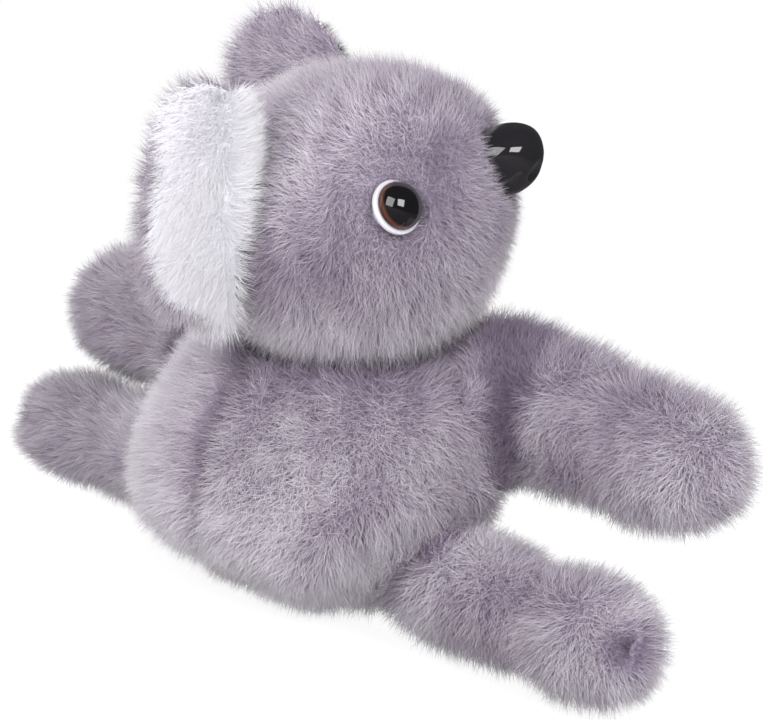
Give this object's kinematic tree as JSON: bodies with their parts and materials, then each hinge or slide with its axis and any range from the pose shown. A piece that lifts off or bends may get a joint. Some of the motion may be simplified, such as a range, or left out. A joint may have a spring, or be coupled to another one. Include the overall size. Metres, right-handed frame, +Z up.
{
  "type": "plush wristband",
  "caption": "Stuffed koala with long grey pile, whose straight arms and legs hold spring bands that curl round a wrist.",
  "frame": {"origin": "middle of the flat under the koala's seat", "axes": "+X towards the koala's right paw, +Y towards its belly, +Z up along its back"},
  "size_m": [0.214, 0.1188, 0.1402],
  "materials": {
    "grey_plush": "long grey pile with dark roots",
    "white_plush": "long white pile",
    "stuffing": "loose polyester filling",
    "spring_steel": "spring steel in a thin sleeve",
    "eye_brown": "clear gloss over a brown iris",
    "eye_white": "smooth",
    "nose_black": "high gloss",
    "washer": "natural moulded"
  },
  "bodies": {
    "torso": {"torso_back_right": "grey_plush", "torso_back_left": "grey_plush", "torso_belly": "grey_plush", "torso_stuffing": "stuffing", "arm_band_middle": "spring_steel", "leg_band_middle": "spring_steel", "eye_right": "eye_brown", "eye_backing_right": "eye_white", "eye_washer_right": "washer", "eye_left": "eye_brown", "eye_backing_left": "eye_white", "eye_washer_left": "washer", "nose": "nose_black", "nose_washer": "washer", "head_right": "grey_plush", "head_left": "grey_plush", "head_stuffing": "stuffing", "ear_back_right": "grey_plush", "ear_front_right": "white_plush", "ear_back_left": "grey_plush", "ear_front_left": "white_plush"},
    "arm_right": {"arm_right_cover": "grey_plush", "arm_right_stuffing": "stuffing", "arm_right_band": "spring_steel"},
    "paw_right": {"paw_right_cover": "grey_plush", "paw_right_stuffing": "stuffing", "paw_right_band": "spring_steel"},
    "leg_right": {"leg_right_cover": "grey_plush", "leg_right_stuffing": "stuffing", "leg_right_band": "spring_steel"},
    "foot_right": {"foot_right_cover": "grey_plush", "foot_right_stuffing": "stuffing", "foot_right_band": "spring_steel"},
    "arm_left": {"arm_left_cover": "grey_plush", "arm_left_stuffing": "stuffing", "arm_left_band": "spring_steel"},
    "paw_left": {"paw_left_cover": "grey_plush", "paw_left_stuffing": "stuffing", "paw_left_band": "spring_steel"},
    "leg_left": {"leg_left_cover": "grey_plush", "leg_left_stuffing": "stuffing", "leg_left_band": "spring_steel"},
    "foot_left": {"foot_left_cover": "grey_plush", "foot_left_stuffing": "stuffing", "foot_left_band": "spring_steel"}
  },
  "joints": [
    {"name": "shoulder_right", "type": "hinge", "parent": "torso", "child": "arm_right", "pos_m": [0.03915, 0.0347, 0.0585], "axis": [0, 0, 1], "range_deg": [0, 75]},
    {"name": "elbow_right", "type": "hinge", "parent": "arm_right", "child": "paw_right", "pos_m": [0.072, 0.0347, 0.0585], "axis": [0, 0, 1], "range_deg": [0, 65]},
    {"name": "shoulder_left", "type": "hinge", "parent": "torso", "child": "arm_left", "pos_m": [-0.03915, 0.0347, 0.0585], "axis": [0, 0, -1], "range_deg": [0, 75]},
    {"name": "elbow_left", "type": "hinge", "parent": "arm_left", "child": "paw_left", "pos_m": [-0.072, 0.0347, 0.0585], "axis": [0, 0, -1], "range_deg": [0, 65]},
    {"name": "hip_right", "type": "hinge", "parent": "torso", "child": "leg_right", "pos_m": [0.04, 0.0257, 0.018], "axis": [0, 0, 1], "range_deg": [0, 75]},
    {"name": "ankle_right", "type": "hinge", "parent": "leg_right", "child": "foot_right", "pos_m": [0.07, 0.0257, 0.018], "axis": [0, 0, 1], "range_deg": [0, 65]},
    {"name": "hip_left", "type": "hinge", "parent": "torso", "child": "leg_left", "pos_m": [-0.04, 0.0257, 0.018], "axis": [0, 0, -1], "range_deg": [0, 75]},
    {"name": "ankle_left", "type": "hinge", "parent": "leg_left", "child": "foot_left", "pos_m": [-0.07, 0.0257, 0.018], "axis": [0, 0, -1], "range_deg": [0, 65]}
  ],
  "couplings": [
    {"joint": "elbow_right", "follows": "shoulder_right", "ratio": 0.8666},
    {"joint": "shoulder_left", "follows": "shoulder_right", "ratio": 1},
    {"joint": "elbow_left", "follows": "shoulder_right", "ratio": 0.8666},
    {"joint": "ankle_right", "follows": "hip_right", "ratio": 0.8666},
    {"joint": "hip_left", "follows": "hip_right", "ratio": 1},
    {"joint": "ankle_left", "follows": "hip_right", "ratio": 0.8666}
  ]
}
